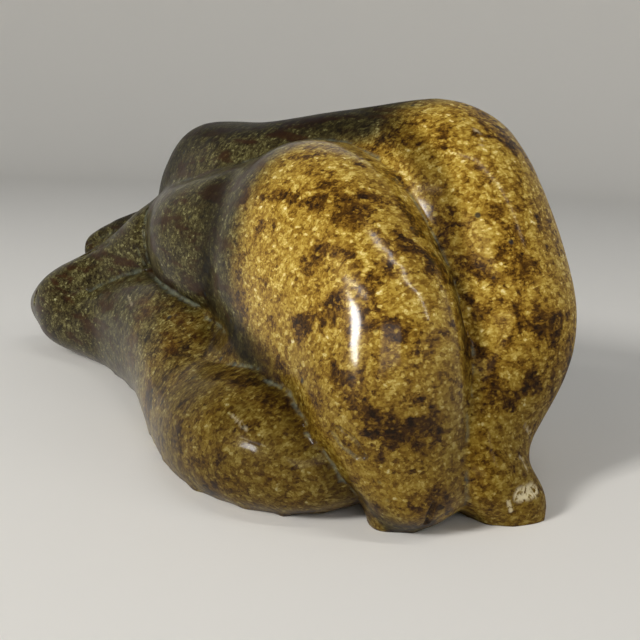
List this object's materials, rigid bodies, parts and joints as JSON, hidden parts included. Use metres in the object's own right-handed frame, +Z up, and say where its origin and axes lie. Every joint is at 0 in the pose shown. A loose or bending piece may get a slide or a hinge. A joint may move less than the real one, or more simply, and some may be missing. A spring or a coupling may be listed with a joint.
{
  "type": "soapstone animal group carving",
  "caption": "Polished soapstone carving of a heavy beast crouched over a seal, in one piece on a flat underside, for a shelf or table.",
  "frame": {"origin": "middle of the flat underside of the carving's bounding box", "axes": "+X from the seal's snout to the beast's hind feet, -Y the side where the seal lies, +Z up"},
  "size_m": [0.2144, 0.1028, 0.0915],
  "materials": {
    "soapstone": "polished golden-brown soapstone with dark mottling and pale green-grey creases"
  },
  "bodies": {
    "root": {"soapstone_carving": "soapstone"}
  },
  "joints": []
}
